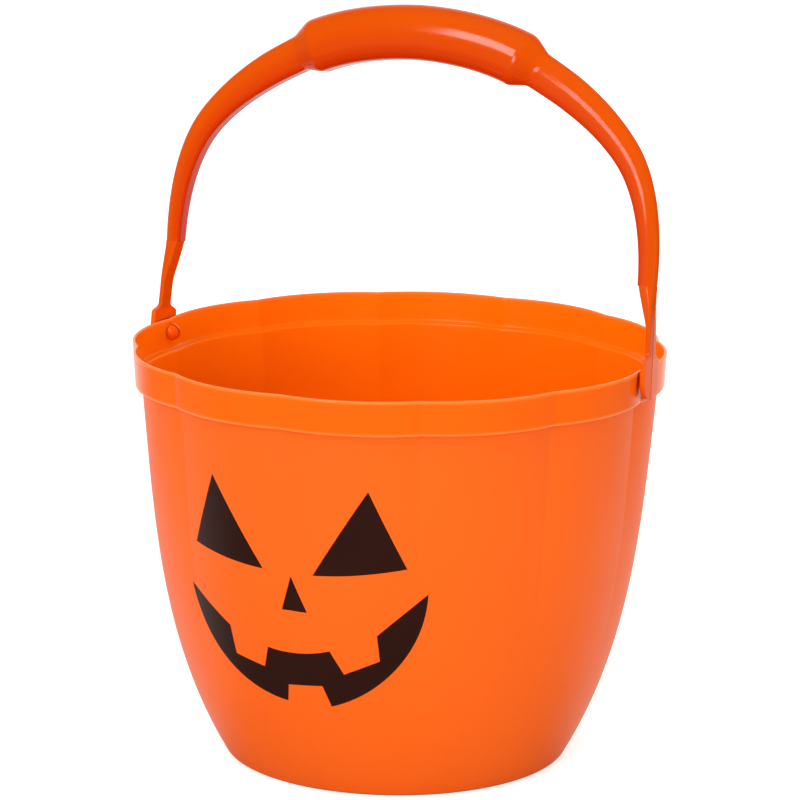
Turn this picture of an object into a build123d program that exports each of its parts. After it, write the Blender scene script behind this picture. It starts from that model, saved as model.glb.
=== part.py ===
from build123d import *
import os
from math import cos, radians, sin

os.makedirs("parts", exist_ok=True)

# Pumpkin candy pail: a lobed tub, a bail that swings on two snap studs and a face printed in four patches.
# Millimetres, +Z up. The origin is the middle of the base, the face looks along -Y, the bail pivots on X.

# Tub
pail_height = 171.0
rim_radius = 110.0  # to the crown of a lobe at the top edge
lobe_count = 12
crease_depth = 2.5  # crown to crease at the rim
base_crease = 0.01  # what is left of the creases at the base
crease_fade = 2.0  # power with which the creases die out towards the base
wall = 1.2
floor_thickness = 1.6
band_height = 14.2
band_taper = 0.8  # the band narrows this much from its top edge to its lower lip
band_step = 2.7  # lower lip to body
body_draft = 14.0  # straight part of the narrowing, rim to base
body_tuck = 22.0  # rounded part of the narrowing, near the base
tuck_power = 3.5
base_corner = 3.0
well_corner = 2.0
body_shares = (0, 0.07, 0.2, 0.4, 0.6, 0.8, 1)  # where the body's sections lie, base to band

# Pivot
pivot_drop = 5.5  # below the top edge
stud_radius = 2.4
stud_clearance = 0.08
head_radius = 3.0
head_cheek = 0.4  # straight part of the snap head, before its round end
head_clearance = 0.4  # snap head to the inside of the wall
slot_width = 0.9  # split that lets the snap head close up
slot_length = 4.6

# Bail
bail_rise = 132.5  # centre line of the grip above the pivot
rest_lean = 8.2  # degrees towards the back, as the bail stands in the photograph
grip_length = 88.0
grip_thickness = 22.3
grip_width = 19.5
grip_land = 5.0
shoulder_length = 9.0
arm_thickness = 14.6  # at the grip's shoulder
arm_width = 9.6
arm_end_thickness = 8.0
arm_end_width = 8.0
arm_land = 4.4
arm_drop_share = 0.29  # of the rise: the arms end here and the straps begin
belly_share = 0.06  # of a section's thickness: how far its widest place lies towards the outside
bend_shares = ((0.45, 0.935), (0.7, 0.806), (0.885, 0.668), (0.975, 0.487))  # of the span and the rise
grip_shares = (-1, -0.5, 0, 0.5, 1)  # where the sections lie, in half lengths from the middle
arm_shares = (0, 0.25, 0.5, 0.75, 1)
strap_step = 1.2  # the strap's inner face stands back from the arm's
strap_width = 7.2
strap_corner = 0.9
strap_taper_length = 15.5
tab_thickness = 2.4
tab_width = 14.6
tab_height = 8.0  # pivot to the start of the shoulders
tab_shoulder = 2.8
tab_corner = 0.8
tab_clearance = 0.4  # tab to the lobes beside its crease

# Printed face, in shares of its width and height
face_width = 104.0
face_height = 92.0
face_base = 42.0
film_gap = 0.2
film_thickness = 0.15
eye_shares = ((0.65, 1), (0.21, 0.613), (0.56, 0.632), (0.88, 0.663))
nose_shares = ((0.02, 0.595), (-0.07, 0.438), (0.14, 0.437))
grin_left_shares = ((-0.97, 0.457), (-0.77, 0.33), (-0.573, 0.314))
left_tooth_shares = ((-0.573, 0.314), (-0.54, 0.184), (-0.273, 0.152), (-0.223, 0.25))
gum_shares = (0.05, 0.241)
right_tooth_shares = ((0.296, 0.268), (0.39, 0.162), (0.669, 0.235), (0.662, 0.35))
grin_right_shares = ((0.662, 0.35), (0.85, 0.4), (1.019, 0.541))
jaw_right_shares = ((1.019, 0.541), (0.727, 0.166), (0.26, 0.001))
lower_tooth_shares = ((0.26, 0.001), (0.208, 0.097), (-0.077, 0.083), (-0.102, 0.005))
jaw_left_shares = ((-0.102, 0.005), (-0.72, 0.19), (-0.97, 0.457))

# Values that follow from these
overrun = wall + band_step
lobe_pitch = 360 / lobe_count
band_base = pail_height - band_height
lip_radius = rim_radius - band_taper
body_radius = lip_radius - band_step
pivot_height = pail_height - pivot_drop
crease_radius = rim_radius - crease_depth
half_chord = crease_radius * sin(radians(lobe_pitch / 2))
lobe_sag = rim_radius - crease_radius * cos(radians(lobe_pitch / 2))
lobe_radius = (half_chord**2 + lobe_sag**2) / (2 * lobe_sag)
lobe_reach = (rim_radius - lobe_radius) * cos(radians(lobe_pitch / 2)) + lobe_radius
tab_inner = lobe_reach + tab_clearance
strap_outer = tab_inner + tab_thickness
bail_span = strap_outer - arm_end_thickness / 2
head_drop = pivot_drop + head_radius
head_base = crease_radius - band_taper * head_drop / band_height - wall - head_clearance
head_middle = head_base - head_cheek
head_tip = head_middle - head_radius
lean = radians(rest_lean)
bail_plane = Plane((0, 0, pivot_height), x_dir=(1, 0, 0), z_dir=(0, -cos(lean), sin(lean)))
pivot_axis = Axis((0, 0, pivot_height), (1, 0, 0))


def polar(radius, angle):
    return (radius * cos(radians(angle)), radius * sin(radians(angle)))


# One closed outline of arcs that meet in creases, the first crease on +X
def lobed_face(height, crown_radius, crease):
    with BuildSketch(Plane.XY.offset(height)) as face:
        with BuildLine():
            for lobe in range(lobe_count):
                start = polar(crown_radius - crease, lobe * lobe_pitch)
                crown = polar(crown_radius, (lobe + 1 / 2) * lobe_pitch)
                end = polar(crown_radius - crease, (lobe + 1) * lobe_pitch)
                ThreePointArc(start, crown, end)
        make_face()
    return face.sketch


# Sections of the body between two heights, set in from its outer wall by a depth
def body_faces(bottom, top, depth):
    faces = []
    for share in body_shares:
        height = bottom + (top - bottom) * share
        depth_share = (band_base - height) / band_base
        tuck = body_tuck * max(depth_share, 0) ** tuck_power
        radius = body_radius - body_draft * depth_share - tuck
        crease = base_crease + (crease_depth - base_crease) * (1 - depth_share) ** crease_fade
        faces.append(lobed_face(height, radius - depth, crease))
    return faces


# Space inside the tub, up to the ledge and then up to the rim
with BuildPart() as well:
    ledge = band_base + wall
    loft(body_faces(floor_thickness, ledge, wall))
    fillet(well.edges().group_by(Axis.Z)[0], well_corner)
    lip_space = lobed_face(ledge, lip_radius - wall, crease_depth)
    loft([lip_space, lobed_face(pail_height, rim_radius - wall, crease_depth)])

# The body's outer form, solid, with a sharp base
with BuildPart() as body:
    loft(body_faces(0, band_base, 0))

with BuildPart() as tub:
    add(body.part)
    fillet(tub.edges().group_by(Axis.Z)[0], base_corner)
    lip = lobed_face(band_base, lip_radius, crease_depth)
    loft([lip, lobed_face(pail_height, rim_radius, crease_depth)])
    add(well.part, mode=Mode.SUBTRACT)
    with BuildSketch(Plane.YZ):
        with Locations((0, pivot_height)):
            Circle(stud_radius + stud_clearance)
    extrude(amount=rim_radius + overrun, both=True, mode=Mode.SUBTRACT)
tub.part.label = "tub"
export_step(tub.part, "parts/tub.step")

# Half of the bail's centre line, from the top of the grip down to the end of the right arm
with BuildLine() as centre_line:
    line_shares = [(0, 1), *bend_shares, (1, arm_drop_share)]
    points = [bail_plane.from_local_coords((bail_span * x, bail_rise * y, 0)) for x, y in line_shares]
    Spline(*points, tangents=(bail_plane.x_dir, -bail_plane.y_dir))
arch = centre_line.edge()
arm_start = grip_length / 2 + shoulder_length


# Section across the arch, so far from its middle: round outside, curved flanks, a flat land inside
def bail_section(side, distance, thickness, width, land):
    middle = arch.position_at(distance, position_mode=PositionMode.LENGTH)
    tangent = arch.tangent_at(distance, position_mode=PositionMode.LENGTH)
    middle = Vector(side * middle.X, middle.Y, middle.Z)
    tangent = Vector(tangent.X, side * tangent.Y, side * tangent.Z)
    outwards = bail_plane.z_dir.cross(tangent)
    belly = belly_share * thickness
    inner = -thickness / 2
    with BuildSketch(Plane(middle, x_dir=outwards, z_dir=tangent)) as section:
        with BuildLine():
            EllipticalCenterArc((belly, 0), thickness / 2 - belly, width / 2, start_angle=-90, arc_size=180)
            TangentArc((belly, width / 2), (inner, land / 2), tangent=(-1, 0))
            Line((inner, land / 2), (inner, -land / 2))
            TangentArc((belly, -width / 2), (inner, -land / 2), tangent=(-1, 0))
        make_face()
    return section.sketch


# Section across the grip, its place a share of half the length from the middle and below zero on the left
def grip_section(share):
    side = -1 if share < 0 else 1
    return bail_section(side, grip_length / 2 * abs(share), grip_thickness, grip_width, grip_land)


# Section across the arm of one side, at a share of its length from the shoulder
def arm_section(side, share):
    distance = arm_start + (arch.length - arm_start) * share
    thickness = arm_thickness + (arm_end_thickness - arm_thickness) * share
    width = arm_width + (arm_end_width - arm_width) * share
    return bail_section(side, distance, thickness, width, arm_land)


# Flat section of the strap at a height above the pivot, its outer face in line with the arm's
def strap_section(side, height, thickness):
    middle = bail_plane.from_local_coords((side * (strap_outer - thickness / 2), height, 0))
    with BuildSketch(Plane(middle, x_dir=(1, 0, 0), z_dir=bail_plane.y_dir)) as section:
        RectangleRounded(thickness, strap_width, strap_corner)
    return section.sketch


strap_top = bail_rise * arm_drop_share
taper_end = strap_top - strap_taper_length
tab_half = tab_width / 2
strap_half = strap_width / 2
shoulder_top = tab_height + tab_shoulder

with BuildPart() as bail:
    loft([grip_section(share) for share in grip_shares])
    for side in (-1, 1):
        loft([grip_section(side), arm_section(side, 0)], ruled=True)
        loft([arm_section(side, share) for share in arm_shares])

        # Strap: a taper below the arm, then an even run down to the tab
        strap_start = strap_section(side, strap_top, arm_end_thickness - strap_step)
        strap_middle = strap_section(side, taper_end, tab_thickness)
        loft([strap_start, strap_middle], ruled=True)
        loft([strap_middle, strap_section(side, 0, tab_thickness)], ruled=True)

        # Tab: round below the pivot, straight sides, sloping shoulders up to the strap
        tab_origin = bail_plane.from_local_coords((side * tab_inner, 0, 0))
        with BuildSketch(Plane(tab_origin, x_dir=-side * bail_plane.z_dir, z_dir=(side, 0, 0))) as tab:
            with BuildLine():
                ThreePointArc((-tab_half, 0), (0, -tab_half), (tab_half, 0))
                Polyline((tab_half, 0), (tab_half, tab_height), (strap_half, shoulder_top))
                Line((strap_half, shoulder_top), (-strap_half, shoulder_top))
                Polyline((-strap_half, shoulder_top), (-tab_half, tab_height), (-tab_half, 0))
            make_face()
            fillet(tab.vertices().group_by(Axis.Y)[-2], tab_corner)
        extrude(amount=tab_thickness)

        # Snap stud: a neck through the wall and a rounded head, split down the middle
        with BuildSketch(bail_plane):
            with BuildLine():
                tip = side * head_tip
                root = side * tab_inner
                base = side * head_base
                cheek = side * head_middle
                Polyline((tip, 0), (root, 0), (root, stud_radius), (base, stud_radius))
                Polyline((base, stud_radius), (base, head_radius), (cheek, head_radius))
                RadiusArc((cheek, head_radius), (tip, 0), -side * head_radius)
            make_face()
        revolve(axis=pivot_axis)
        with BuildSketch(bail_plane):
            with Locations((side * (head_tip + slot_length / 2), 0)):
                Rectangle(slot_length, 2 * head_radius)
        extrude(amount=slot_width / 2, both=True, mode=Mode.SUBTRACT)
bail.part.label = "bail"
export_step(bail.part, "parts/bail.step")

# Skin of ink thickness all round the body, from which the printed patches are cut
with BuildPart() as film:
    ink_outside = 1 + (film_gap + film_thickness) / body_radius
    ink_inside = 1 + film_gap / body_radius
    scale(body.part, by=(ink_outside, ink_outside, 1))
    scale(body.part, by=(ink_inside, ink_inside, 1), mode=Mode.SUBTRACT)


def on_face(across_share, up_share):
    return (face_width / 2 * across_share, face_base + face_height * up_share)


def eye_outline(side):
    apex, inner, bow, outer = [on_face(side * across, up) for across, up in eye_shares]
    with BuildSketch(Plane.XZ) as outline:
        with BuildLine():
            Polyline(outer, apex, inner)
            ThreePointArc(inner, bow, outer)
        make_face()
    return outline.sketch


def nose_outline():
    with BuildSketch(Plane.XZ) as outline:
        with BuildLine():
            Polyline(*[on_face(*share) for share in nose_shares], close=True)
        make_face()
    return outline.sketch


# Mouth: two upper teeth and one lower tooth between a curved upper lip and a curved jaw
def mouth_outline():
    left_tooth = [on_face(*share) for share in left_tooth_shares]
    right_tooth = [on_face(*share) for share in right_tooth_shares]
    lower_tooth = [on_face(*share) for share in lower_tooth_shares]
    with BuildSketch(Plane.XZ) as outline:
        with BuildLine():
            ThreePointArc(*[on_face(*share) for share in grin_left_shares])
            Polyline(*left_tooth)
            ThreePointArc(left_tooth[-1], on_face(*gum_shares), right_tooth[0])
            Polyline(*right_tooth)
            ThreePointArc(*[on_face(*share) for share in grin_right_shares])
            ThreePointArc(*[on_face(*share) for share in jaw_right_shares])
            Polyline(*lower_tooth)
            ThreePointArc(*[on_face(*share) for share in jaw_left_shares])
        make_face()
    return outline.sketch


patches = {
    "left_eye": eye_outline(-1),
    "right_eye": eye_outline(1),
    "nose": nose_outline(),
    "mouth": mouth_outline(),
}
for name, outline in patches.items():
    with BuildPart() as patch:
        add(film.part)
        extrude(outline, amount=rim_radius, mode=Mode.INTERSECT)
    patch.part.label = name
    export_step(patch.part, f"parts/{name}.step")
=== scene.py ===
import bpy
import numpy as np
from mathutils import Matrix


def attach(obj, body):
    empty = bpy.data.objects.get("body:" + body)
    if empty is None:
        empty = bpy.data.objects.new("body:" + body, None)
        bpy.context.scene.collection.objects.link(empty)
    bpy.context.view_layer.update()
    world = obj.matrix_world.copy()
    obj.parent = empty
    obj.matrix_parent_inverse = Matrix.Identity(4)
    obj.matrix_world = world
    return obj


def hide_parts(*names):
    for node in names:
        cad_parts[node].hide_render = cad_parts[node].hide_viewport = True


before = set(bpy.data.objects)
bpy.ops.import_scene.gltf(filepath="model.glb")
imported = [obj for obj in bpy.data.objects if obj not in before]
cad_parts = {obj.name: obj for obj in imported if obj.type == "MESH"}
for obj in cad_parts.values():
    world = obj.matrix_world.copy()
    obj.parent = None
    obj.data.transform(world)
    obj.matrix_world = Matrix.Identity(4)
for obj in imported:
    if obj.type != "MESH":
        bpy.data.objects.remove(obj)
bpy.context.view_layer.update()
print("frame loaded:", ", ".join(sorted(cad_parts)))

mm = 0.001  # everything below is worked out in millimetres and written to the meshes in metres
sharpAngle = 50  # degrees; roundings turn in smaller steps, so only true corners stay sharp


# Quads of a grid of rows by columns: corner, next column, next column of the next row, next row
def gridQuads(rows, columns, closed):
    row, column = np.meshgrid(np.arange(rows - 1), np.arange(columns if closed else columns - 1), indexing="ij")
    nextColumn = (column + 1) % columns
    corners = [row * columns + column, row * columns + nextColumn,
               (row + 1) * columns + nextColumn, (row + 1) * columns + column]
    return np.stack(corners, -1)


# One sheet of a shell: its points, its quads and its marks, one value of each mark for each point
def sheet(points, closed=False, **marks):
    rows, columns = points.shape[:2]
    flat = {name: np.broadcast_to(value, (rows, columns)).ravel() for name, value in marks.items()}
    return points.reshape(-1, 3), gridQuads(rows, columns, closed).reshape(-1, 4), flat


# Sheets become one shell: equal points are welded, and the quads turned so that the volume comes out positive
def shell(*sheets):
    points = np.concatenate([part[0] for part in sheets])
    starts = np.cumsum([0] + [len(part[0]) for part in sheets[:-1]])
    quads = np.concatenate([part[1] + start for part, start in zip(sheets, starts)])
    marks = {name: np.concatenate([part[2][name] for part in sheets]) for name in sheets[0][2]}
    unique, first, back = np.unique(np.round(points, 4), axis=0, return_index=True, return_inverse=True)
    quads = back.reshape(-1)[quads]
    a, b, c, d = (unique[quads[:, corner]] for corner in range(4))
    volume = np.sum(np.cross(a, b) * c) + np.sum(np.cross(a, c) * d)
    if volume < 0:
        quads = quads[:, ::-1]
    return points[first], quads, {name: mark[first] for name, mark in marks.items()}


# Puts shells into one mesh object; a quad with two equal corners, at a pole, becomes a triangle
def makePiece(name, shells, material, body, nodes):
    starts = np.cumsum([0] + [len(part[0]) for part in shells[:-1]])
    points = np.concatenate([part[0] for part in shells]) * mm
    quads = np.concatenate([part[1] + start for part, start in zip(shells, starts)])
    same = quads == np.roll(quads, -1, axis=1)
    fours = quads[same.sum(1) == 0]
    pinched = same.sum(1) == 1
    threes = quads[pinched][~same[pinched]].reshape(-1, 3)
    mesh = bpy.data.meshes.new(name)
    mesh.from_pydata(points, [], fours.tolist() + threes.tolist())
    mesh.polygons.foreach_set("use_smooth", np.ones(len(mesh.polygons), bool))
    mesh.set_sharp_from_angle(angle=np.radians(sharpAngle))
    for mark in shells[0][2]:
        values = np.concatenate([part[2][mark] for part in shells]).astype(np.float32)
        mesh.attributes.new(mark, "FLOAT", "POINT").data.foreach_set("value", values)
    mesh.materials.append(material)
    mesh.update()
    piece = bpy.data.objects.new(name, mesh)
    bpy.context.scene.collection.objects.link(piece)
    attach(piece, body)
    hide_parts(*nodes)
    print(f"{name}: {len(mesh.vertices)} points, {len(mesh.polygons)} faces")


# Line through corners, each corner rounded by an arc of its own radius; returns the points and their corners' labels
def roundedLine(corners, radii, labels, steps=6):
    corners = np.asarray(corners, float)
    points, names = [], []
    for k, corner in enumerate(corners):
        if radii[k] == 0:
            points.append(corner[None])
            names.append(np.full(1, labels[k]))
            continue
        before = (corners[k - 1] - corner) / np.linalg.norm(corners[k - 1] - corner)
        after = (corners[k + 1] - corner) / np.linalg.norm(corners[k + 1] - corner)
        halfTurn = np.arccos(np.clip(before @ after, -1, 1)) / 2
        middle = corner + (before + after) / np.linalg.norm(before + after) * radii[k] / np.sin(halfTurn)
        start = corner + before * radii[k] / np.tan(halfTurn) - middle
        side = corner + after * radii[k] / np.tan(halfTurn) - middle
        share = np.linspace(0, 1, steps + 1)[:, None]
        sweep = np.arccos(np.clip(start @ side / radii[k]**2, -1, 1))
        points.append(middle + (np.sin((1 - share) * sweep) * start + np.sin(share * sweep) * side) / np.sin(sweep))
        names.append(np.full(steps + 1, labels[k]))
    return np.concatenate(points), np.concatenate(names)


# A node at a place, with its settings; a name that isn't a setting is one of its inputs
def node(tree, kind, place, **values):
    made = tree.nodes.new(kind)
    made.location = place
    for key, value in values.items():
        if hasattr(made, key):
            setattr(made, key, value)
        else:
            made.inputs[key.replace("_", " ")].default_value = value
    return made


# Moulded plastic: two tones in soft clouds, a tone for marked inner sides (painted light inside the tub, painted shade
# on the bail's inner side) and one for marked edges (on the bail, painted light on the tabs and snap heads), a satin
# share of the roughness, orange-peel and slow waves
def mouldedPlastic(name, look):
    material = bpy.data.materials.new(name)
    material.use_nodes = True
    tree = material.node_tree
    tree.nodes.clear()
    link = tree.links.new
    output = node(tree, "ShaderNodeOutputMaterial", (900, 0))
    shader = node(tree, "ShaderNodeBsdfPrincipled", (600, 0), IOR=look["ior"])
    shader.inputs["Specular IOR Level"].default_value = look["shine"]
    place = node(tree, "ShaderNodeTexCoord", (-900, 0))

    clouds = node(tree, "ShaderNodeTexNoise", (-600, 300), Scale=look["cloudScale"], Detail=3.0)
    tones = node(tree, "ShaderNodeMix", (-200, 300), data_type="RGBA")
    tones.inputs["A"].default_value = (*look["deep"], 1)
    tones.inputs["B"].default_value = (*look["bright"], 1)
    # edge tone: paler on the marked rim and lip edges; on the bail it is painted light on the thin tabs and snap heads
    edge = node(tree, "ShaderNodeAttribute", (-600, 80), attribute_name="edge")
    edgeAndPaintedLightShare = node(tree, "ShaderNodeMath", (-400, 80), operation="MULTIPLY")
    edgeAndPaintedLightShare.inputs[1].default_value = look["edgeAndPaintedLightShare"]
    colour = node(tree, "ShaderNodeMix", (100, 200), data_type="RGBA")
    colour.inputs["B"].default_value = (*look["edgeAndPaintedLightTone"], 1)
    # painted light inside the tub and painted shade on the bail's inner side: the marked sides are mixed towards this
    # tone
    inside = node(tree, "ShaderNodeAttribute", (-400, 480), attribute_name="inside")
    paintedShading = node(tree, "ShaderNodeMix", (-50, 360), data_type="RGBA")
    paintedShading.inputs["B"].default_value = (*look["paintedShadingTone"], 1)
    link(place.outputs["Object"], clouds.inputs["Vector"])
    link(clouds.outputs["Fac"], tones.inputs["Factor"])
    link(inside.outputs["Fac"], paintedShading.inputs["Factor"])
    link(tones.outputs["Result"], paintedShading.inputs["A"])
    link(edge.outputs["Fac"], edgeAndPaintedLightShare.inputs[0])
    link(edgeAndPaintedLightShare.outputs[0], colour.inputs["Factor"])
    link(paintedShading.outputs["Result"], colour.inputs["A"])
    link(colour.outputs["Result"], shader.inputs["Base Color"])

    satin = node(tree, "ShaderNodeAttribute", (-600, -120), attribute_name="satin")
    rough = node(tree, "ShaderNodeMapRange", (-300, -120))
    rough.inputs["To Min"].default_value = look["glossRough"]
    rough.inputs["To Max"].default_value = look["satinRough"]
    smudges = node(tree, "ShaderNodeTexNoise", (-600, -330), Scale=look["smudgeScale"], Detail=6.0)
    smudgeRange = node(tree, "ShaderNodeMapRange", (-300, -330))
    smudgeRange.inputs["To Min"].default_value = -look["smudge"]
    smudgeRange.inputs["To Max"].default_value = look["smudge"]
    roughSum = node(tree, "ShaderNodeMath", (0, -160), operation="ADD")
    link(satin.outputs["Fac"], rough.inputs["Value"])
    link(place.outputs["Object"], smudges.inputs["Vector"])
    link(smudges.outputs["Fac"], smudgeRange.inputs["Value"])
    link(rough.outputs["Result"], roughSum.inputs[0])
    link(smudgeRange.outputs["Result"], roughSum.inputs[1])
    link(roughSum.outputs[0], shader.inputs["Roughness"])

    peel = node(tree, "ShaderNodeTexNoise", (-600, -560), Scale=look["peelScale"], Detail=2.0)
    peelBump = node(tree, "ShaderNodeBump", (0, -420), Strength=look["peel"], Distance=0.0001)
    waves = node(tree, "ShaderNodeTexNoise", (-600, -780), Scale=look["waveScale"], Detail=1.0)
    waveBump = node(tree, "ShaderNodeBump", (300, -420), Strength=look["wave"], Distance=0.001)
    link(place.outputs["Object"], peel.inputs["Vector"])
    link(place.outputs["Object"], waves.inputs["Vector"])
    link(peel.outputs["Fac"], peelBump.inputs["Height"])
    link(waves.outputs["Fac"], waveBump.inputs["Height"])
    link(peelBump.outputs["Normal"], waveBump.inputs["Normal"])
    link(waveBump.outputs["Normal"], shader.inputs["Normal"])
    link(shader.outputs["BSDF"], output.inputs["Surface"])
    return material


# Tub: one shell, the profile from under the base up the outside, over the rim and down the inside, turned round the
# lobes
tub = {
    "height": 171.0, "rimRadius": 110.0, "lobes": 12, "creaseDepth": 2.5, "creaseSoft": 0.25, "creaseFade": 2.0,
    "wall": 1.2, "floor": 1.6, "bandHeight": 14.2, "bandTaper": 0.8, "bandStep": 2.7,
    "draft": 14.0, "tuck": 22.0, "tuckPower": 3.5, "baseCorner": 3.0, "wellCorner": 2.5,
    "lipEdge": 0.7, "lipRoot": 0.5, "rimEdge": 0.5, "ledgeRound": 1.0, "ledgeSlope": 0.6,
    "pivotDrop": 5.5, "holeRadius": 2.48, "holeFrame": 4.0, "baseDisc": 68.0, "wellDisc": 66.0,
    "columnsPerLobe": 40, "wallRows": 44, "frameSteps": 6, "holeRings": 6, "discRings": 6,
    # rows: height of the lowest and how far the highest stays under the band; then two low rows of the band itself
    "outsideRows": (7, 0.9), "insideRows": (8, 1.6), "bandRows": (1.6, 3.2),
}
bandBase = tub["height"] - tub["bandHeight"]
lipRadius = tub["rimRadius"] - tub["bandTaper"]
bodyRadius = lipRadius - tub["bandStep"]
pivotHeight = tub["height"] - tub["pivotDrop"]


# Radius of a ring of arcs that meet in creases: a ray at angle t from an arc's middle meets the arc, whose centre lies
# off the axis, at centre*cos(t) + sqrt(arc^2 - (centre*sin(t))^2); beside a crease two neighbours join by a smooth
# maximum
def lobedRadius(angle, crown, crease):
    half = np.pi / tub["lobes"]
    low = crown - crease
    chord = low * np.sin(half)
    sag = np.maximum(crown - low * np.cos(half), 1e-9)
    arc = (chord**2 + sag**2) / (2 * sag)
    centre = crown - arc
    turn = np.abs(angle % (2 * half) - half)
    own = centre * np.cos(turn) + np.sqrt(np.maximum(arc**2 - (centre * np.sin(turn))**2, 0))
    beside = 2 * half - turn
    other = centre * np.cos(beside) + np.sqrt(np.maximum(arc**2 - (centre * np.sin(beside))**2, 0))
    soft = tub["creaseSoft"] * crease / tub["creaseDepth"] + 1e-6
    return np.maximum(own, other) + np.maximum(soft - np.abs(own - other), 0)**2 / (4 * soft)


# Outer crown radius of the body at a height: a straight draft and a power of the depth that rounds it in at the base
def bodyCrown(z):
    depth = (bandBase - z) / bandBase
    return bodyRadius - tub["draft"] * depth - tub["tuck"] * np.maximum(depth, 0)**tub["tuckPower"]


# Depth of the body's creases: a power of the height, so that they fade out towards the base
def bodyCrease(z):
    return tub["creaseDepth"] * np.clip(z / bandBase, 0.002, 1)**tub["creaseFade"]


# Crown radius of the rim band: a straight taper from the rim down
def bandCrown(z):
    return tub["rimRadius"] - tub["bandTaper"] * (tub["height"] - z) / tub["bandHeight"]


# Points on lobed rings: angle round, height, crown radius and crease depth
def ringPoints(angle, z, crown, crease):
    radius = lobedRadius(angle, crown, crease)
    return np.stack([radius * np.cos(angle), radius * np.sin(angle), z + 0 * radius], -1)


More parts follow.
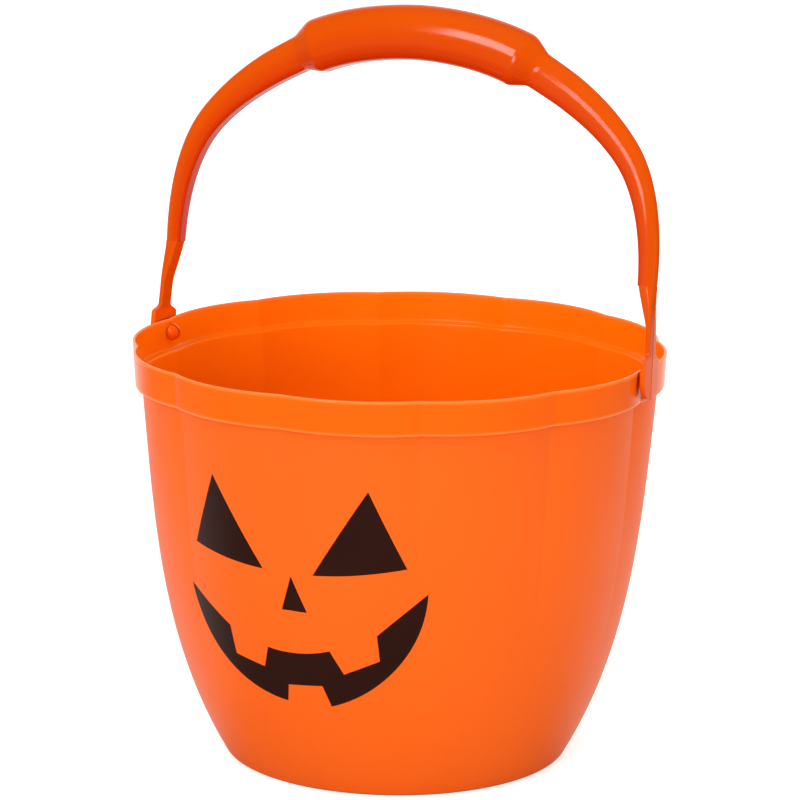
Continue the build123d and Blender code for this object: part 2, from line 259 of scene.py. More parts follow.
# Corners from the middle of the base round to the middle of the well, rounded, and each carried round its lobed ring
def tubShell():
    wall, frameSteps = tub["wall"], tub["frameSteps"]
    frameRows = np.linspace(pivotHeight - tub["holeFrame"], pivotHeight + tub["holeFrame"], frameSteps + 1)
    bandRows = np.concatenate([bandBase + np.array(tub["bandRows"]), frameRows])
    rise = 1 - np.cos(np.linspace(0, 1, tub["wallRows"]) * np.pi / 2)  # rows crowd towards the base
    low, drop = tub["outsideRows"]
    outside = low + (bandBase - drop - low) * rise
    low, drop = tub["insideRows"]
    inside = (low + (bandBase - drop - low) * rise)[::-1]
    ledge = bandBase + wall
    line, radii, labels = [], [], []
    for r, z, radius, label in [
        *[(tub["baseDisc"] * share, 0.0, 0, "base") for share in np.linspace(0, 0.93, tub["discRings"])],
        (bodyCrown(0.0), 0.0, tub["baseCorner"], "base"),
        *[(bodyCrown(z), z, 0, "body") for z in outside],
        (bodyRadius, bandBase, tub["lipRoot"], "root"),
        (lipRadius, bandBase, tub["lipEdge"], "edge"),
        *[(bandCrown(z), z, 0, "band") for z in bandRows],
        (tub["rimRadius"], tub["height"], tub["rimEdge"], "edge"),
        (tub["rimRadius"] - wall, tub["height"], tub["rimEdge"], "edge"),
        *[(bandCrown(z) - wall, z, 0, "innerBand") for z in frameRows[::-1]],
        (bandCrown(ledge) - wall, ledge + tub["ledgeSlope"] / 2, tub["ledgeRound"], "inside"),
        (bodyRadius - wall, ledge - tub["ledgeSlope"] / 2, tub["ledgeRound"], "inside"),
        *[(bodyCrown(z) - wall, z, 0, "inside") for z in inside],
        (bodyCrown(tub["floor"]) - wall, tub["floor"], tub["wellCorner"], "inside"),
        *[(tub["wellDisc"] * share, tub["floor"], 0, "inside") for share in np.linspace(0.95, 0, tub["discRings"])],
    ]:
        line.append((r, z))
        radii.append(radius)
        labels.append(label)
    profile, names = roundedLine(line, radii, labels)
    crown, z = profile.T
    flatShare = np.clip(crown / bodyCrown(np.clip(z, 0, bandBase)), 0, 1)  # the creases also die out towards the middle
    crease = np.where(z < bandBase, bodyCrease(np.clip(z, 0, bandBase)), tub["creaseDepth"]) * flatShare**4

    half = np.pi / tub["lobes"]
    across = np.linspace(-1, 1, tub["columnsPerLobe"] + 1)[:-1]
    across = 0.25 * across + 0.75 * np.sin(across * np.pi / 2)  # columns crowd towards the creases
    angle = (half * across[None] + 2 * half * np.arange(tub["lobes"])[:, None]).ravel() + half
    order = np.argsort((angle + half) % (2 * np.pi))
    angle = (angle[order] + half) % (2 * np.pi) - half
    points = ringPoints(angle[None], z[:, None], crown[:, None], crease[:, None])
    satin = np.isin(names, ["body", "base", "root"]).astype(float)[:, None]
    edge = (names == "edge").astype(float)[:, None]
    # painted light: the inner surfaces are marked for a lighter orange that stands in for light bouncing inside the tub
    paintedShading = np.isin(names, ["inside", "innerBand"]).astype(float)[:, None]
    flat, quads, marks = sheet(points, True, satin=satin, edge=edge, inside=paintedShading)

    # Pivot holes: the cells round each pivot give way to a sheet that runs from the wall's cells to a circle, through
    # the wall, and out to the cells on the inside
    quads = quads.reshape(len(z) - 1, len(angle), 4)
    outerRows = np.flatnonzero((names == "band") & (np.abs(z - pivotHeight) < tub["holeFrame"] + 0.01))
    innerRows = np.flatnonzero(names == "innerBand")[::-1]
    holeRing = bandCrown(pivotHeight) - tub["creaseDepth"] - wall
    reach = tub["holeFrame"] / (bandCrown(pivotHeight) - tub["creaseDepth"])
    sheets = []
    keep = np.ones(quads.shape[:2], bool)
    for pivot in (0.0, np.pi):
        columns = np.flatnonzero(np.abs(angle - pivot) < reach)
        keep[outerRows[0]:outerRows[-1], columns[0]:columns[-1]] = False
        keep[innerRows[-1]:innerRows[0], columns[0]:columns[-1]] = False
        rowLoop = np.concatenate([0 * columns[:-1], np.arange(frameSteps), 0 * columns[1:] + frameSteps,
                                  np.arange(frameSteps, 0, -1)])
        columnLoop = np.concatenate([columns[:-1], np.full(frameSteps, columns[-1]), columns[:0:-1],
                                     np.full(frameSteps, columns[0])])
        loopAngle, loopHeight = angle[columnLoop] - pivot, z[outerRows][rowLoop] - pivotHeight
        along = loopAngle * holeRing
        turn = np.arctan2(loopHeight, along)
        share = np.linspace(1, 0, tub["holeRings"])[:, None]
        holeAlong = share * along + (1 - share) * tub["holeRadius"] * np.cos(turn)
        holeHeight = share * loopHeight + (1 - share) * tub["holeRadius"] * np.sin(turn) + pivotHeight
        holeAngle = holeAlong / holeRing + pivot
        outerSide = ringPoints(holeAngle, holeHeight, bandCrown(holeHeight), tub["creaseDepth"])
        innerSide = ringPoints(holeAngle, holeHeight, bandCrown(holeHeight) - wall, tub["creaseDepth"])[::-1]
        outerSide[0] = points[outerRows[rowLoop], columnLoop]
        innerSide[-1] = points[innerRows[rowLoop], columnLoop]
        # the hole's inner half takes the same painted light as the rest of the inside
        paintedShading = np.repeat([0.0, 1.0], len(share))[:, None]
        sheets.append(sheet(np.concatenate([outerSide, innerSide]), True, satin=0.0, edge=0.0, inside=paintedShading))
    return shell((flat, quads[keep], marks), *sheets)


# the inside tone is a lighter orange than the body's: painted light for the light that bounces inside the tub
tubLook = {
    "deep": (0.95, 0.116, 0.001), "bright": (1.0, 0.14, 0.002), "edgeAndPaintedLightTone": (1.0, 0.3, 0.06), "edgeAndPaintedLightShare": 0.5,
    "paintedShadingTone": (1.0, 0.175, 0.001), "ior": 1.49, "shine": 0.36,
    "cloudScale": 9.0, "glossRough": 0.17, "satinRough": 0.42, "smudgeScale": 45.0, "smudge": 0.04,
    "peelScale": 1400.0, "peel": 0.06, "waveScale": 28.0, "wave": 0.05,
}
tubPlastic = mouldedPlastic("satin orange plastic", tubLook)
makePiece("pail_tub", [tubShell()], tubPlastic, "pail", ["tub"])


# Bail: sections carried along an arch and down two straps, in the bail's own plane, which leans to the back
bail = {
    "lean": 8.2, "span": 107.3, "rise": 132.5, "strapTop": 38.43, "strapOuter": 111.3,
    "bends": ((0.45, 0.935), (0.7, 0.806), (0.885, 0.668), (0.975, 0.487)),
    # along the arch from its top: how far the centre line lies outside the plain curve
    "bowAt": (0, 12, 24, 36, 48, 56, 62, 68, 74, 80, 86, 92, 98, 104, 130, 140, 150, 160.7),
    "bow": (-0.2, -0.45, -0.7, -0.85, -0.85, -0.9, -0.65, 0, 0.45, 0.65, 0.75, 0.5, 0.15, 0, 0.1, 0, -0.25, -0.5),
    "gripHalf": 47.6, "gripThick": 22.4, "gripWide": 19.3, "gripLand": 3.4, "shoulder": 7.6, "shoulderRound": 1.5,
    "armAt": (50, 60, 72, 84, 96, 108, 120, 132, 144, 160.7),
    "armThick": (15.2, 15.0, 14.5, 13.5, 12.4, 11.4, 10.1, 9.0, 8.2, 7.3),
    "armWide": 10.6, "armEndWide": 7.4, "armLand": 4.8, "armBelly": -0.3, "armRound": 0.5,
    # the last two below are painted shade: where a section's inner side starts to be painted deeper red, and how fast
    "gripBelly": -0.2, "gripRound": 1.4, "softReach": 6.0, "slopeReach": 2.0, "paintedShadeFrom": 0.2, "paintedShadeSlope": 1.3,
    # heights above the pivot and how far the strap's outer face lies outside the tab's there
    "slopeAt": (-7.3, 0, 8, 12, 18, 26, 30, 38.43), "slope": (0.25, 0.08, -0.14, -0.36, -0.64, -0.76, -0.74, -0.62),
    "step": -0.2, "strapLand": 5.0, "strapThick": 2.1, "strapWide": 7.2,
    "strapTaper": 16.5, "taperPast": 1.5, "taperRound": 4.0,
    "tabThick": 2.3, "tabWide": 17.4, "tabToe": 2.4, "tabHeight": 9.0, "tabDrop": 6.6, "tabShoulder": 2.0,
    "tabShoulderRound": 0.8, "tabInner": 108.9, "edgeRound": 0.4, "faceDraft": 0.03, "seam": 0.16, "seamHalf": 0.35,
    "studRadius": 2.4, "neckFlare": 0.3, "headRadius": 3.7, "headBase": 105.76, "headCheek": 0.2, "headShoulder": 0.25,
    "slot": 1.2, "slotRoot": 106.6, "slotTurn": 22.0,
}


# Straight ramp from 0 to 1 between two places, its two ends rounded over a length
def ramp(x, start, end, rounding):
    def ease(t):
        return np.where(t < -rounding, 0, np.where(t > rounding, t, (t + rounding)**2 / (4 * rounding)))
    return (ease(x - start) - ease(x - end)) / (end - start)


# Table read along a line and averaged over a length on both sides, so that its corners are soft
def softTable(x, places, values, reach):
    return np.mean([np.interp(x + shift, places, values) for shift in np.linspace(-reach, reach, 11)], axis=0)


# Smooth curve through points with given end directions: cubic pieces whose slopes solve one linear system
def archLine():
    shares = np.array([(0, 1), *bail["bends"], (1, bail["strapTop"] / bail["rise"])])
    knots = shares * (bail["span"], bail["rise"])
    step = np.linalg.norm(np.diff(knots, axis=0), axis=1)
    count = len(knots)
    system, right = np.eye(count), np.zeros((count, 2))
    right[0], right[-1] = (1, 0), (0, -1)
    for k in range(1, count - 1):
        system[k, k - 1:k + 2] = 1 / step[k - 1], 2 / step[k - 1] + 2 / step[k], 1 / step[k]
        right[k] = 3 * ((knots[k] - knots[k - 1]) / step[k - 1]**2 + (knots[k + 1] - knots[k]) / step[k]**2)
    slope = np.linalg.solve(system, right)
    t = np.linspace(0, 1, 200)[None, :, None]
    a, b = knots[:-1, None], knots[1:, None]
    h = step[:, None, None]
    curve = ((2 * t**3 - 3 * t**2 + 1) * a + (t**3 - 2 * t**2 + t) * h * slope[:-1, None]
             + (3 * t**2 - 2 * t**3) * b + (t**3 - t**2) * h * slope[1:, None])
    curve = curve.reshape(-1, 2)
    length = np.concatenate([[0], np.cumsum(np.linalg.norm(np.diff(curve, axis=0), axis=1))])
    keep = np.concatenate([[True], np.diff(length) > 1e-9])
    return curve[keep], length[keep]


# Half a section from the outermost point round one side to the innermost, as (outwards, sideways) arrays, one row for
# each station: a quarter ellipse, a flank arc that leaves it straight, a rounded corner and the flat land
def archSection(thick, wide, land, rounding, belly):
    thick, wide, land, rounding, belly = (value[:, None] for value in (thick, wide, land, rounding, belly))
    belly = belly * thick
    inner = -thick / 2
    t = np.linspace(0, 1, 15)[None] * np.pi / 2
    crownOut, crownSide = belly + (thick / 2 - belly) * np.cos(t), wide / 2 * np.sin(t)
    drop, run = (wide - land) / 2, belly - inner
    radius = (run**2 + drop**2) / (2 * drop)
    sweep = 2 * np.arctan2(drop, run)
    trim = 1 - rounding / (radius * sweep)
    t = np.linspace(0, 1, 10)[None, 1:] * trim * sweep
    flankOut, flankSide = belly - radius * np.sin(t), wide / 2 - radius * (1 - np.cos(t))
    t = np.linspace(0, 1, 6)[None, 1:]
    landSide = land / 2 - np.minimum(rounding, land * 0.45)
    cornerOut = (1 - t)**2 * flankOut[:, -1:] + 2 * t * (1 - t) * inner + t**2 * inner
    cornerSide = (1 - t)**2 * flankSide[:, -1:] + 2 * t * (1 - t) * land / 2 + t**2 * landSide
    t = np.linspace(1, 0, 4)[None, 1:]
    return (np.concatenate([crownOut, flankOut, cornerOut, inner + 0 * t], 1),
            np.concatenate([crownSide, flankSide, cornerSide, landSide * t], 1))


# Half a flat section of the same count: an outer face with draft and a fine seam, round edges and a flat inner face
def strapSection(thick, wide):
    thick, wide = thick[:, None], wide[:, None]
    rounding = np.minimum(np.minimum(bail["edgeRound"], thick * 0.3), wide * 0.45)
    seamHalf = np.minimum(bail["seamHalf"], wide * 0.1)
    faceEnd = wide / 2 - rounding
    side = np.concatenate([0 * wide, seamHalf * 0.5, seamHalf, seamHalf * 2,
                           seamHalf * 2 + (faceEnd - seamHalf * 2) * np.linspace(0, 1, 5)[None, 1:]], 1)
    ridge = bail["seam"] * np.array([[1, 0.75, 0, 0, 0, 0, 0, 0]]) * np.minimum(1, wide / 3)
    out = thick / 2 - bail["faceDraft"] * side + ridge
    t = np.linspace(0, 1, 8)[None, 1:] * np.pi / 2
    edgeOut, edgeSide = out[:, -1:] - rounding * (1 - np.cos(t)), faceEnd + rounding * np.sin(t)
    backOut, backSide = -thick / 2 + rounding * (1 - np.sin(t)), faceEnd + rounding * np.cos(t)
    share = np.array([[0.25, 0.5, 0.75]])
    middle = edgeOut[:, -1:] * (1 - share) + (-thick / 2 + rounding) * share
    inwards = np.linspace(1, 0, 8)[None, 1:]
    return (np.concatenate([out, edgeOut, middle, backOut, -thick / 2 + 0 * inwards], 1),
            np.concatenate([side, edgeSide, wide / 2 + 0 * middle, backSide, faceEnd * inwards], 1))


# Local places in the bail's plane (across, up, towards the front) to the pail's frame
def fromBail(across, up, front):
    lean = np.radians(bail["lean"])
    return np.stack([across, up * np.sin(lean) - front * np.cos(lean),
                     pivotHeight + up * np.cos(lean) + front * np.sin(lean)], -1)


# The arch's sections stand square to its centre line, from the top to the notch; below it the strap's sections follow
# heights above the pivot; half a section and half a bail are mirrored
def bailSweep():
    curve, length = archLine()
    total = length[-1]
    armStart = bail["gripHalf"] + bail["shoulder"]
    stations = np.unique(np.concatenate([
        np.linspace(0, 44, 26), np.linspace(44, armStart + 3, 34), np.linspace(armStart + 3, total - 1, 56),
        total - np.array([0.5, 0.25, 0.1, 0.0])]))
    place = np.stack([np.interp(stations, length, curve[:, axis]) for axis in (0, 1)], -1)
    near, far = np.maximum(stations - 0.4, 0), np.minimum(stations + 0.4, total)
    tangent = np.stack([np.interp(far, length, curve[:, axis]) - np.interp(near, length, curve[:, axis])
                        for axis in (0, 1)], -1)
    tangent /= np.linalg.norm(tangent, axis=1, keepdims=True)
    outwards = np.stack([-tangent[:, 1], tangent[:, 0]], -1)
    place = place + outwards * softTable(stations, bail["bowAt"], bail["bow"], bail["softReach"])[:, None]
    narrow = ramp(stations, bail["gripHalf"], armStart, bail["shoulderRound"])
    arm = np.clip((stations - armStart) / (total - armStart), 0, 1)
    armThick = softTable(stations, bail["armAt"], bail["armThick"], bail["softReach"])
    armWide = bail["armWide"] + (bail["armEndWide"] - bail["armWide"]) * arm
    thick = bail["gripThick"] + (armThick - bail["gripThick"]) * narrow
    wide = bail["gripWide"] + (armWide - bail["gripWide"]) * narrow
    land = bail["gripLand"] + (bail["armLand"] - bail["gripLand"]) * narrow
    rounding = bail["gripRound"] + (bail["armRound"] - bail["gripRound"]) * narrow
    belly = bail["gripBelly"] + (bail["armBelly"] - bail["gripBelly"]) * narrow
    out, side = archSection(thick, wide, land, rounding, belly)
    # painted shade: each section is painted a deeper red towards its inner side, where less light falls
    paintedShade = np.clip(bail["paintedShadeFrom"] - bail["paintedShadeSlope"] * out / thick[:, None], 0, 1)
    across = place[:, :1] + outwards[:, :1] * out
    up = place[:, 1:] + outwards[:, 1:] * out

    # Strap and tab: heights from the notch down to the tab's round end; the arm's section fades into a flat one
    tabHalf = bail["tabWide"] / 2
    shoulderTop = bail["tabHeight"] + bail["tabShoulder"]
    bottom = bail["tabDrop"] * np.sin(np.linspace(0, np.pi / 2, 22))
    height = np.concatenate([bail["strapTop"] - np.array([0.05, 0.2, 0.5]), np.linspace(bail["strapTop"] - 1, 21, 18),
                             np.linspace(20, 13.5, 7), np.linspace(13.2, 7.4, 26), np.linspace(7, 0, 6), -bottom[1:]])
    taperTop = bail["strapTop"] + bail["taperPast"]
    taper = ramp(height, bail["strapTop"] - bail["strapTaper"], taperTop, bail["taperRound"])
    flare = 1 - ramp(height, bail["tabHeight"], shoulderTop, bail["tabShoulderRound"])
    thinThick = bail["strapThick"] + (bail["tabThick"] - bail["strapThick"]) * flare
    strapThick = thinThick + (thick[-1] - bail["step"] - thinThick) * taper
    flatWide = bail["strapWide"] + (bail["tabWide"] - bail["strapWide"]) * flare
    flatWide = np.where(height < 0, 2 * tabHalf * np.sqrt(np.maximum(1 - (height / bail["tabDrop"])**2, 0)), flatWide)
    edge = bail["edgeRound"]
    edgeLeft = edge - np.clip(bail["tabDrop"] + height, 0, edge)  # the round end thins over the last of its length
    strapThick = strapThick - 2 * (edge - np.sqrt(np.maximum(edge**2 - edgeLeft**2, 0)))
    flatOut, flatSide = strapSection(strapThick, flatWide)
    roundWide = np.maximum(bail["strapWide"] + (wide[-1] - bail["strapWide"]) * taper, 1)
    roundOut, roundSide = archSection(np.maximum(strapThick, 2), roundWide, 0 * height + bail["strapLand"],
                                      0 * height + bail["armRound"], 0 * height + bail["armBelly"])
    blend = taper[:, None]
    strapOut, strapSide = flatOut + (roundOut - flatOut) * blend, flatSide + (roundSide - flatSide) * blend
    outerFace = bail["strapOuter"] + softTable(height, bail["slopeAt"], bail["slope"], bail["slopeReach"])
    toe = np.tan(np.radians(bail["tabToe"])) * (1 - blend)  # the front edge of the tab stands off a little more
    strapAcross = (outerFace - strapThick / 2)[:, None] + strapOut
    tilt = np.concatenate([0 * across, toe + 0 * strapOut])
    paintedTabLight = np.concatenate([np.zeros(len(across)), flare])[:, None]  # the thin tabs are painted paler: painted light for the brighter light they get
    paintedShade = np.concatenate([paintedShade, 0 * strapOut])
    across = np.concatenate([across, strapAcross])
    up = np.concatenate([up, height[:, None] + 0 * strapOut])
    side = np.concatenate([side, strapSide])

    # The other side of each section and the other half of the bail
    across, up, tilt, paintedShade = (np.concatenate([value, value[:, -2:0:-1]], 1) for value in (across, up, tilt, paintedShade))
    front = np.concatenate([side, -side[:, -2:0:-1]], 1)
    across = across + tilt * front
    across = np.concatenate([-across[:0:-1], across])
    up, front, paintedTabLight, paintedShade = (np.concatenate([value[:0:-1], value]) for value in (up, front, paintedTabLight, paintedShade))
    points = fromBail(across, up, front)  # the end rows have no width, so they close on themselves
    return shell(sheet(points, True, satin=0.0, edge=paintedTabLight, inside=paintedShade))


# Ring sections carried along the pivot line, closed by a point at each end
def pivotSweep(across, up, front, edge):
    across = across[:, None] + 0 * up
    ends = [(across[row].mean(), up[row].mean(), front[row].mean()) for row in (0, -1)]
    across, up, front = (np.concatenate([np.full((1, value.shape[1]), ends[0][axis]), value,
                                         np.full((1, value.shape[1]), ends[1][axis])])
                         for axis, value in enumerate((across, up, front)))
    return shell(sheet(fromBail(across, up, front), True, satin=0.0, edge=edge, inside=0.0))


# Half of the split snap head: discs cut by a chord, their radius a neck, a small shoulder and a dome
def prong(side, half):
    t = np.linspace(0, np.pi / 2, 8)
    base, cheek = bail["headBase"], bail["headBase"] - bail["headCheek"]
    gap = bail["slot"] / 2
    domeEnd = np.arccos(gap / bail["headRadius"])
    dome = np.linspace(0, domeEnd, 14)
    shoulder = bail["headShoulder"]
    across = np.concatenate([[bail["slotRoot"], base + 0.05], base - shoulder * (1 - np.cos(t)), [cheek],
                             cheek - bail["headRadius"] * np.sin(dome[1:])])
    radius = np.concatenate([[bail["studRadius"]] * 2, bail["headRadius"] - shoulder + shoulder * np.sin(t),
                             [bail["headRadius"]], bail["headRadius"] * np.cos(dome[1:])])[:, None]
    start = np.arcsin(np.clip(gap / radius, -1, 1))
    around = start + (np.pi - 2 * start) * np.linspace(0, 1, 25)[None]
    reach = np.sqrt(np.maximum(radius**2 - gap**2, 0))
    chord = reach * np.linspace(-1, 1, 9)[None, 1:-1]
    up = np.concatenate([radius * np.cos(around), chord], 1)
    front = half * np.concatenate([radius * np.sin(around), gap + 0 * chord], 1)
    turn = np.radians(bail["slotTurn"])
    up, front = up * np.cos(turn) - front * np.sin(turn), up * np.sin(turn) + front * np.cos(turn)
    # the heads take the full edge tone: painted light that makes them paler than the rest of the bail
    return pivotSweep(side * across, up, front, 1.0)


# Round neck of a stud, from the slot's root into the tab, where it widens
def neck(side):
    around = np.linspace(0, 2 * np.pi, 33)[None, :-1]
    across = side * np.array([bail["slotRoot"], bail["tabInner"] - 0.3, bail["tabInner"] + 0.4])
    radius = np.array([[bail["studRadius"]], [bail["studRadius"]], [bail["studRadius"] + bail["neckFlare"]]])
    return pivotSweep(across, radius * np.cos(around), radius * np.sin(around), 0.0)


# the bail's tones are kept darker than the tub's: painted shade for the lower light that reaches it; the inside tone
# paints its inner side deeper red (painted shade), the edge tone its tabs and snap heads paler (painted light)
bailLook = {
    "deep": (0.62, 0.066, 0.0004), "bright": (0.7, 0.08, 0.0006), "edgeAndPaintedLightTone": (1.0, 0.12, 0.004), "edgeAndPaintedLightShare": 0.55,
    "paintedShadingTone": (0.58, 0.025, 0.0003), "ior": 1.5, "shine": 0.34,
    "cloudScale": 14.0, "glossRough": 0.1, "satinRough": 0.3, "smudgeScale": 70.0, "smudge": 0.03,
    "peelScale": 1400.0, "peel": 0.03, "waveScale": 40.0, "wave": 0.04,
}
bailPlastic = mouldedPlastic("gloss orange plastic", bailLook)
bailShells = [bailSweep(), *[neck(side) for side in (-1, 1)],
              *[prong(side, half) for side in (-1, 1) for half in (-1, 1)]]
makePiece("carry_bail", bailShells, bailPlastic, "bail", ["bail"])


# Printed face: flat outlines in shares of the face's width and height, carried back on to the wall
face = {
    "width": 104.0, "height": 92.0, "base": 42.0, "proud": 0.03, "sunk": 0.1,
    "leftEye": ((-0.652, 0.999), (-0.213, 0.614), (-0.562, 0.633), (-0.882, 0.664)),
    "rightEye": ((0.655, 1.002), (0.206, 0.611), (0.56, 0.628), (0.895, 0.658)),
    "nose": ((0.02, 0.595), (-0.07, 0.438), (0.14, 0.437)),
    "leftGrin": ((-0.975, 0.46), (-0.573, 0.314)),
    "leftTooth": ((-0.54, 0.184), (-0.273, 0.152)),
    "gum": ((-0.223, 0.25), (0.05, 0.241), (0.296, 0.268)),
    "rightTooth": ((0.39, 0.162), (0.669, 0.235)),
    "rightGrin": ((0.66, 0.352), (1.022, 0.543)),
    "leftJaw": ((-0.975, 0.46), (-0.72, 0.183), (-0.102, 0.003)),
    "lowerTooth": ((-0.077, 0.083), (0.208, 0.097)),
    "rightJaw": ((0.26, 0.001), (0.727, 0.17), (1.022, 0.543)),
}


# Shares of half the face's width and of its height to flat places in millimetres
def onFace(shares):
    shares = np.asarray(shares, float)
    return np.stack([shares[..., 0] * face["width"] / 2, face["base"] + shares[..., 1] * face["height"]], -1)


# Circle through three points: points of the arc from the first to the last, by the angle at the centre
def arcThrough(points, steps=24):
    a, b, c = points
    system = 2 * np.array([b - a, c - a])
    centre = np.linalg.solve(system, np.array([b @ b - a @ a, c @ c - a @ a]))
    start, middle, end = (np.arctan2(*(point - centre)[::-1]) for point in (a, b, c))
    middle = start + (middle - start + np.pi) % (2 * np.pi) - np.pi
    end = start + (end - start + np.pi) % (2 * np.pi) - np.pi
    turn = np.linspace(start, end, steps + 1)
    return centre + np.linalg.norm(a - centre) * np.stack([np.cos(turn), np.sin(turn)], -1)


# Flat points (across, up) on the front of the wall: the angle that gives this distance across, found in a few rounds,
# then a step outwards along the ring's radius
def onWall(flat, step):
    across, z = flat[..., 0], flat[..., 1]
    crown, crease = bodyCrown(z), bodyCrease(z)
    radius = crown
    for turn in range(12):
        angle = -np.arccos(np.clip(across / radius, -1, 1))
        radius = lobedRadius(angle, crown, crease)
    radius = radius + step
    return np.stack([radius * np.cos(angle), radius * np.sin(angle), z], -1)


# A film between two edges, lower and upper, with rows from one to the other: a front, a back and the rim between them
def film(lower, upper, rows):
    share = np.linspace(0, 1, rows)[:, None, None]
    flat = lower[None] * (1 - share) + upper[None] * share
    front, back = onWall(flat, face["proud"]), onWall(flat, -face["sunk"])
    around = np.concatenate([front[::-1], back])
    return shell(sheet(around), sheet(np.stack([back[-1], front[-1]])),
                 sheet(np.stack([back[:, 0], front[:, 0]])), sheet(np.stack([front[:, -1], back[:, -1]])))


# Line through places along the face as points at given places, straight between its own points
def lineAt(places, along, points):
    return np.stack([np.interp(places, along, points[:, axis]) for axis in (0, 1)], -1)


# An eye runs from its bowed lower edge to its apex
def eyeFilm(eye):
    apex, inner, bow, outer = onFace(face[eye])
    lower = arcThrough(np.array([inner, bow, outer]), 40)
    return film(lower, np.broadcast_to(apex, lower.shape), 30)


# The nose is a triangle with a straight lower edge
def noseFilm():
    apex, left, right = onFace(face["nose"])
    lower = left + (right - left) * np.linspace(0, 1, 14)[:, None]
    return film(lower, np.broadcast_to(apex, lower.shape), 16)


# The mouth runs between its jaw line and its grin line, both read at the same places from corner to corner
def mouthFilm():
    upper = np.concatenate([onFace(face["leftGrin"]), onFace(face["leftTooth"]), arcThrough(onFace(face["gum"])),
                            onFace(face["rightTooth"]), onFace(face["rightGrin"])])
    lower = np.concatenate([arcThrough(onFace(face["leftJaw"])), onFace(face["lowerTooth"]),
                            arcThrough(onFace(face["rightJaw"]))])
    upperAlong, lowerAlong = (np.maximum.accumulate(line[:, 0] + 1e-3 * np.arange(len(line)))
                              for line in (upper, lower))
    upperSpan, lowerSpan = upperAlong[-1] - upperAlong[0], lowerAlong[-1] - lowerAlong[0]
    lowerAlong = lowerAlong[0] + (lowerAlong - lowerAlong[0]) * upperSpan / lowerSpan
    lowerAlong = lowerAlong + upperAlong[0] - lowerAlong[0]
    places = np.unique(np.concatenate([upperAlong, lowerAlong, np.linspace(upperAlong[0], upperAlong[-1], 90)]))
    return film(lineAt(places, lowerAlong, lower), lineAt(places, upperAlong, upper), 14)


# Ink: near black, with thin clouds and rare pinholes through which the plastic shows
inkLook = {"dark": (0.022, 0.0055, 0.003), "thin": (0.034, 0.0085, 0.005), "hole": (0.5, 0.05, 0.01),
           "rough": 0.34, "ior": 1.48, "shine": 0.15, "cloudScale": 22.0, "holeScale": 210.0, "holeFrom": 0.875,
           "holeSoft": 0.04, "peelScale": 1400.0, "peel": 0.05}


def printedInk(name, look):
    material = bpy.data.materials.new(name)
    material.use_nodes = True
    tree = material.node_tree
    tree.nodes.clear()
    link = tree.links.new
    output = node(tree, "ShaderNodeOutputMaterial", (700, 0))
    shader = node(tree, "ShaderNodeBsdfPrincipled", (400, 0), Roughness=look["rough"], IOR=look["ior"])
    shader.inputs["Specular IOR Level"].default_value = look["shine"]
    place = node(tree, "ShaderNodeTexCoord", (-900, 0))
    clouds = node(tree, "ShaderNodeTexNoise", (-600, 200), Scale=look["cloudScale"], Detail=4.0)
    tones = node(tree, "ShaderNodeMix", (-250, 200), data_type="RGBA")
    tones.inputs["A"].default_value = (*look["dark"], 1)
    tones.inputs["B"].default_value = (*look["thin"], 1)
    specks = node(tree, "ShaderNodeTexNoise", (-600, -60), Scale=look["holeScale"], Detail=0.0)
    holes = node(tree, "ShaderNodeMapRange", (-250, -60))
    holes.inputs["From Min"].default_value = look["holeFrom"]
    holes.inputs["From Max"].default_value = look["holeFrom"] + look["holeSoft"]
    colour = node(tree, "ShaderNodeMix", (100, 120), data_type="RGBA")
    colour.inputs["B"].default_value = (*look["hole"], 1)
    peel = node(tree, "ShaderNodeTexNoise", (-600, -320), Scale=look["peelScale"], Detail=2.0)
    bump = node(tree, "ShaderNodeBump", (100, -260), Strength=look["peel"], Distance=0.0001)
    for texture in (clouds, specks, peel):
        link(place.outputs["Object"], texture.inputs["Vector"])
    link(clouds.outputs["Fac"], tones.inputs["Factor"])
    link(specks.outputs["Fac"], holes.inputs["Value"])
    link(holes.outputs["Result"], colour.inputs["Factor"])
    link(tones.outputs["Result"], colour.inputs["A"])
    link(colour.outputs["Result"], shader.inputs["Base Color"])
    link(peel.outputs["Fac"], bump.inputs["Height"])
    link(bump.outputs["Normal"], shader.inputs["Normal"])
    link(shader.outputs["BSDF"], output.inputs["Surface"])
    return material


blackInk = printedInk("black printing ink", inkLook)
makePiece("printed_left_eye", [eyeFilm("leftEye")], blackInk, "pail", ["left_eye"])
makePiece("printed_right_eye", [eyeFilm("rightEye")], blackInk, "pail", ["right_eye"])
makePiece("printed_nose", [noseFilm()], blackInk, "pail", ["nose"])
makePiece("printed_mouth", [mouthFilm()], blackInk, "pail", ["mouth"])


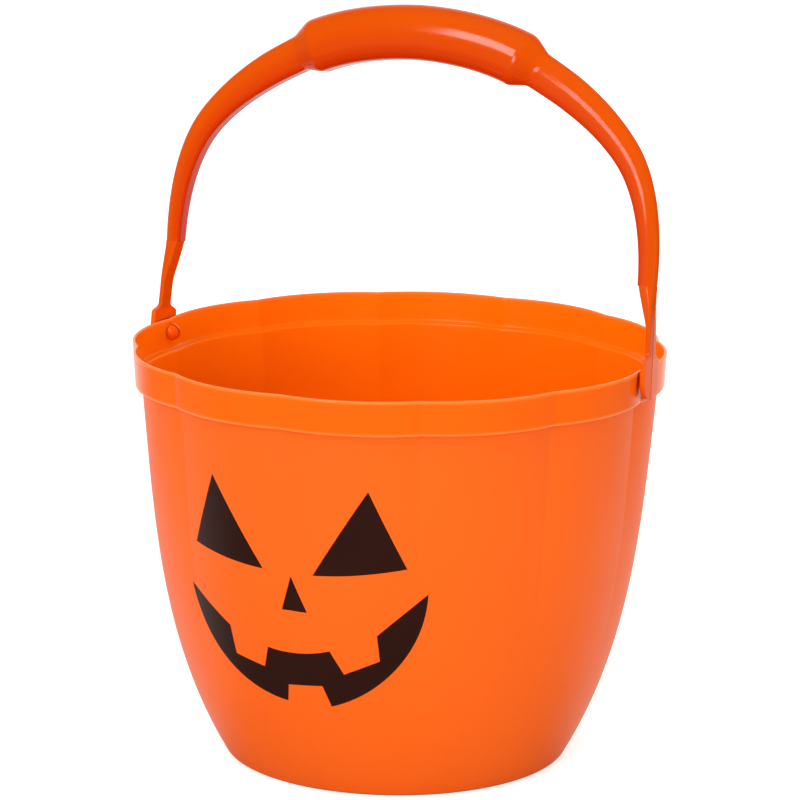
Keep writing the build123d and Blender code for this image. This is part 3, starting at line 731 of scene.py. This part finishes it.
# Stage: a white floor that keeps the shadow, soft lamps, and surroundings that are white to the camera; reflections see
# white behind the pail and a dark room on the camera's side
stage = {
    "floorHalf": 9.0, "floorTone": 0.8, "bounceTone": 0.5, "floorGlow": 0.6, "worldLight": 0.52,
    # reflections: how far a direction, or a place on the floor, lies towards the back, from dark to white
    "roomDark": 0.03, "roomWhite": 1.0, "roomBack": (-0.342, 0.94, 0.0), "roomRange": (0.4, 1.0),
    "floorBack": (-0.4226, 0.906, 0.0), "floorRange": (0.3, 0.9),
    # the floor near the pail is pale in reflections too, less so on the camera's side
    "nearWhite": 0.85, "nearRange": (0.3, 0.75), "nearFront": 0.15, "nearTurn": (-0.6, 0.2),
    "aim": (0, 0, 0.2),
    # name, place, size, roll, power and whether reflections see it
    "lamps": (
        ("grip box", (-0.62, -1.8, 1.72), (0.5, 0.62), 0.0, 8.8, True),
        ("arm box", (0.163, -2.24, 1.1), (1.2, 0.44), -36.6, 10.5, True),
        ("front", (-0.3, -2.35, 0.5), (1.6, 0.9), 0.0, 19.0, False),
        ("left", (-2.2, -0.4, 0.28), (1.4, 0.6), 0.0, 8.0, False),
        ("right", (2.2, -0.5, 0.28), (1.4, 0.6), 0.0, 17.5, False),
        ("back", (0.4, 2.3, 0.8), (1.6, 1.0), 0.0, 21.0, False),
        ("top", (0.1, -0.2, 2.0), (1.6, 1.6), 0.0, 11.5, False),
    ),
}


# Share of white from the dark side to the back, along a direction or a place on the floor
def backShare(tree, vector, back, span, ends, place):
    unit = node(tree, "ShaderNodeVectorMath", (place[0] - 600, place[1]), operation="NORMALIZE")
    along = node(tree, "ShaderNodeVectorMath", (place[0] - 400, place[1]), operation="DOT_PRODUCT")
    along.inputs[1].default_value = back
    share = node(tree, "ShaderNodeMapRange", (place[0] - 200, place[1]), interpolation_type="SMOOTHSTEP")
    share.inputs["From Min"].default_value, share.inputs["From Max"].default_value = span
    share.inputs["To Min"].default_value, share.inputs["To Max"].default_value = ends
    tree.links.new(vector, unit.inputs[0])
    tree.links.new(unit.outputs["Vector"], along.inputs[0])
    tree.links.new(along.outputs["Value"], share.inputs["Value"])
    return share.outputs["Result"]


# Floor: lit and white to the camera, a plain bounce to the object, and the graded room to reflections
def makeFloor():
    half = stage["floorHalf"]
    mesh = bpy.data.meshes.new("floor")
    mesh.from_pydata([(-half, -half, 0), (half, -half, 0), (half, half, 0), (-half, half, 0)], [], [(0, 1, 2, 3)])
    material = bpy.data.materials.new("white floor")
    material.use_nodes = True
    tree = material.node_tree
    tree.nodes.clear()
    link = tree.links.new
    output = node(tree, "ShaderNodeOutputMaterial", (800, 0))
    plain = node(tree, "ShaderNodeBsdfDiffuse", (0, 100))
    plain.inputs["Color"].default_value = (stage["floorTone"],) * 3 + (1,)
    bounce = node(tree, "ShaderNodeBsdfDiffuse", (0, 240))
    bounce.inputs["Color"].default_value = (stage["bounceTone"],) * 3 + (1,)
    glow = node(tree, "ShaderNodeEmission", (0, -60), Strength=stage["floorGlow"])
    mirrored = node(tree, "ShaderNodeEmission", (200, -200))
    lit = node(tree, "ShaderNodeAddShader", (200, -20))
    path = node(tree, "ShaderNodeLightPath", (0, 400))
    place = node(tree, "ShaderNodeTexCoord", (-800, -200))
    seen = node(tree, "ShaderNodeMixShader", (400, 60))
    reflected = node(tree, "ShaderNodeMixShader", (600, 0))
    spot = place.outputs["Object"]
    room = (stage["roomDark"], stage["roomWhite"])
    reach = node(tree, "ShaderNodeVectorMath", (-500, -560), operation="LENGTH")
    near = node(tree, "ShaderNodeMapRange", (-300, -560), interpolation_type="SMOOTHSTEP")
    near.inputs["From Min"].default_value, near.inputs["From Max"].default_value = stage["nearRange"]
    near.inputs["To Min"].default_value, near.inputs["To Max"].default_value = stage["nearWhite"], 0
    nearTurned = node(tree, "ShaderNodeMath", (-100, -480), operation="MULTIPLY")
    whiter = node(tree, "ShaderNodeMath", (0, -300), operation="MAXIMUM")
    link(spot, reach.inputs[0])
    link(reach.outputs["Value"], near.inputs["Value"])
    link(near.outputs["Result"], nearTurned.inputs[0])
    link(backShare(tree, spot, stage["floorBack"], stage["nearTurn"], (stage["nearFront"], 1), (-100, -380)),
         nearTurned.inputs[1])
    link(backShare(tree, spot, stage["floorBack"], stage["floorRange"], room, (-100, -200)), whiter.inputs[0])
    link(nearTurned.outputs[0], whiter.inputs[1])
    link(whiter.outputs[0], mirrored.inputs["Strength"])
    link(plain.outputs[0], lit.inputs[0])
    link(glow.outputs[0], lit.inputs[1])
    link(path.outputs["Is Camera Ray"], seen.inputs[0])
    link(bounce.outputs[0], seen.inputs[1])
    link(lit.outputs[0], seen.inputs[2])
    link(path.outputs["Is Glossy Ray"], reflected.inputs[0])
    link(seen.outputs[0], reflected.inputs[1])
    link(mirrored.outputs[0], reflected.inputs[2])
    link(reflected.outputs[0], output.inputs["Surface"])
    mesh.materials.append(material)
    floor = bpy.data.objects.new("floor", mesh)
    bpy.context.scene.collection.objects.link(floor)


def makeWorld():
    world = bpy.data.worlds.new("white studio")
    bpy.context.scene.world = world
    world.use_nodes = True
    tree = world.node_tree
    tree.nodes.clear()
    link = tree.links.new
    output = node(tree, "ShaderNodeOutputWorld", (800, 0))
    light = node(tree, "ShaderNodeBackground", (200, 100), Strength=stage["worldLight"])
    white = node(tree, "ShaderNodeBackground", (200, -60), Strength=1.0)
    mirrored = node(tree, "ShaderNodeBackground", (200, -220))
    path = node(tree, "ShaderNodeLightPath", (0, 300))
    place = node(tree, "ShaderNodeTexCoord", (-800, -200))
    seen = node(tree, "ShaderNodeMixShader", (400, 0))
    reflected = node(tree, "ShaderNodeMixShader", (600, 0))
    for background in (light, white, mirrored):
        background.inputs["Color"].default_value = (1, 1, 1, 1)
    room = (stage["roomDark"], stage["roomWhite"])
    link(backShare(tree, place.outputs["Generated"], stage["roomBack"], stage["roomRange"], room, (100, -220)),
         mirrored.inputs["Strength"])
    link(path.outputs["Is Camera Ray"], seen.inputs[0])
    link(light.outputs[0], seen.inputs[1])
    link(white.outputs[0], seen.inputs[2])
    link(path.outputs["Is Glossy Ray"], reflected.inputs[0])
    link(seen.outputs[0], reflected.inputs[1])
    link(mirrored.outputs[0], reflected.inputs[2])
    link(reflected.outputs[0], output.inputs["Surface"])


# Matrix of a lamp or camera at a place that looks at a target, rolled about its own axis
def aimed(place, target, roll):
    back = np.array(place) - np.array(target)
    back = back / np.linalg.norm(back)
    right = np.cross((0, 0, 1), back)
    right /= np.linalg.norm(right)
    up = np.cross(back, right)
    right, up = np.cos(roll) * right + np.sin(roll) * up, np.cos(roll) * up - np.sin(roll) * right
    matrix = np.eye(4)
    matrix[:3, 0], matrix[:3, 1], matrix[:3, 2], matrix[:3, 3] = right, up, back, place
    return Matrix(matrix.tolist())


def makeLamps():
    for name, place, size, roll, power, mirrored in stage["lamps"]:
        lamp = bpy.data.lights.new(name, "AREA")
        lamp.shape = "RECTANGLE"
        lamp.size, lamp.size_y = size
        lamp.energy = power
        holder = bpy.data.objects.new(name, lamp)
        bpy.context.scene.collection.objects.link(holder)
        holder.matrix_world = aimed(place, stage["aim"], np.radians(roll))
        holder.visible_glossy = mirrored


# Camera: place from the distance, turn and rise of the view; aim by its own pitch and a small roll
view = {"turn": 25.25, "rise": 11.994, "distance": 1.5708, "about": 0.171, "pitch": 12.845, "yaw": 0.029,
        "roll": 0.4446, "lens": 172.71}


def makeCamera():
    turn, rise = np.radians(view["turn"]), np.radians(view["rise"])
    place = view["distance"] * np.array([np.cos(rise) * np.sin(turn), -np.cos(rise) * np.cos(turn), np.sin(rise)])
    place[2] += view["about"]
    heading, pitch = np.radians(view["turn"] - view["yaw"]), np.radians(view["pitch"])
    forward = np.array([-np.sin(heading) * np.cos(pitch), np.cos(heading) * np.cos(pitch), -np.sin(pitch)])
    camera = bpy.data.cameras.new("camera")
    camera.lens = view["lens"]
    camera.sensor_width = 36.0
    camera.clip_start, camera.clip_end = 0.05, 50.0
    holder = bpy.data.objects.new("camera", camera)
    bpy.context.scene.collection.objects.link(holder)
    holder.matrix_world = aimed(place, place + forward, np.radians(view["roll"]))
    bpy.context.scene.camera = holder


makeFloor()
makeWorld()
makeLamps()
makeCamera()
bpy.context.scene.view_settings.view_transform = "Standard"
print("stage, lamps and camera are set")

bpy.context.view_layer.update()
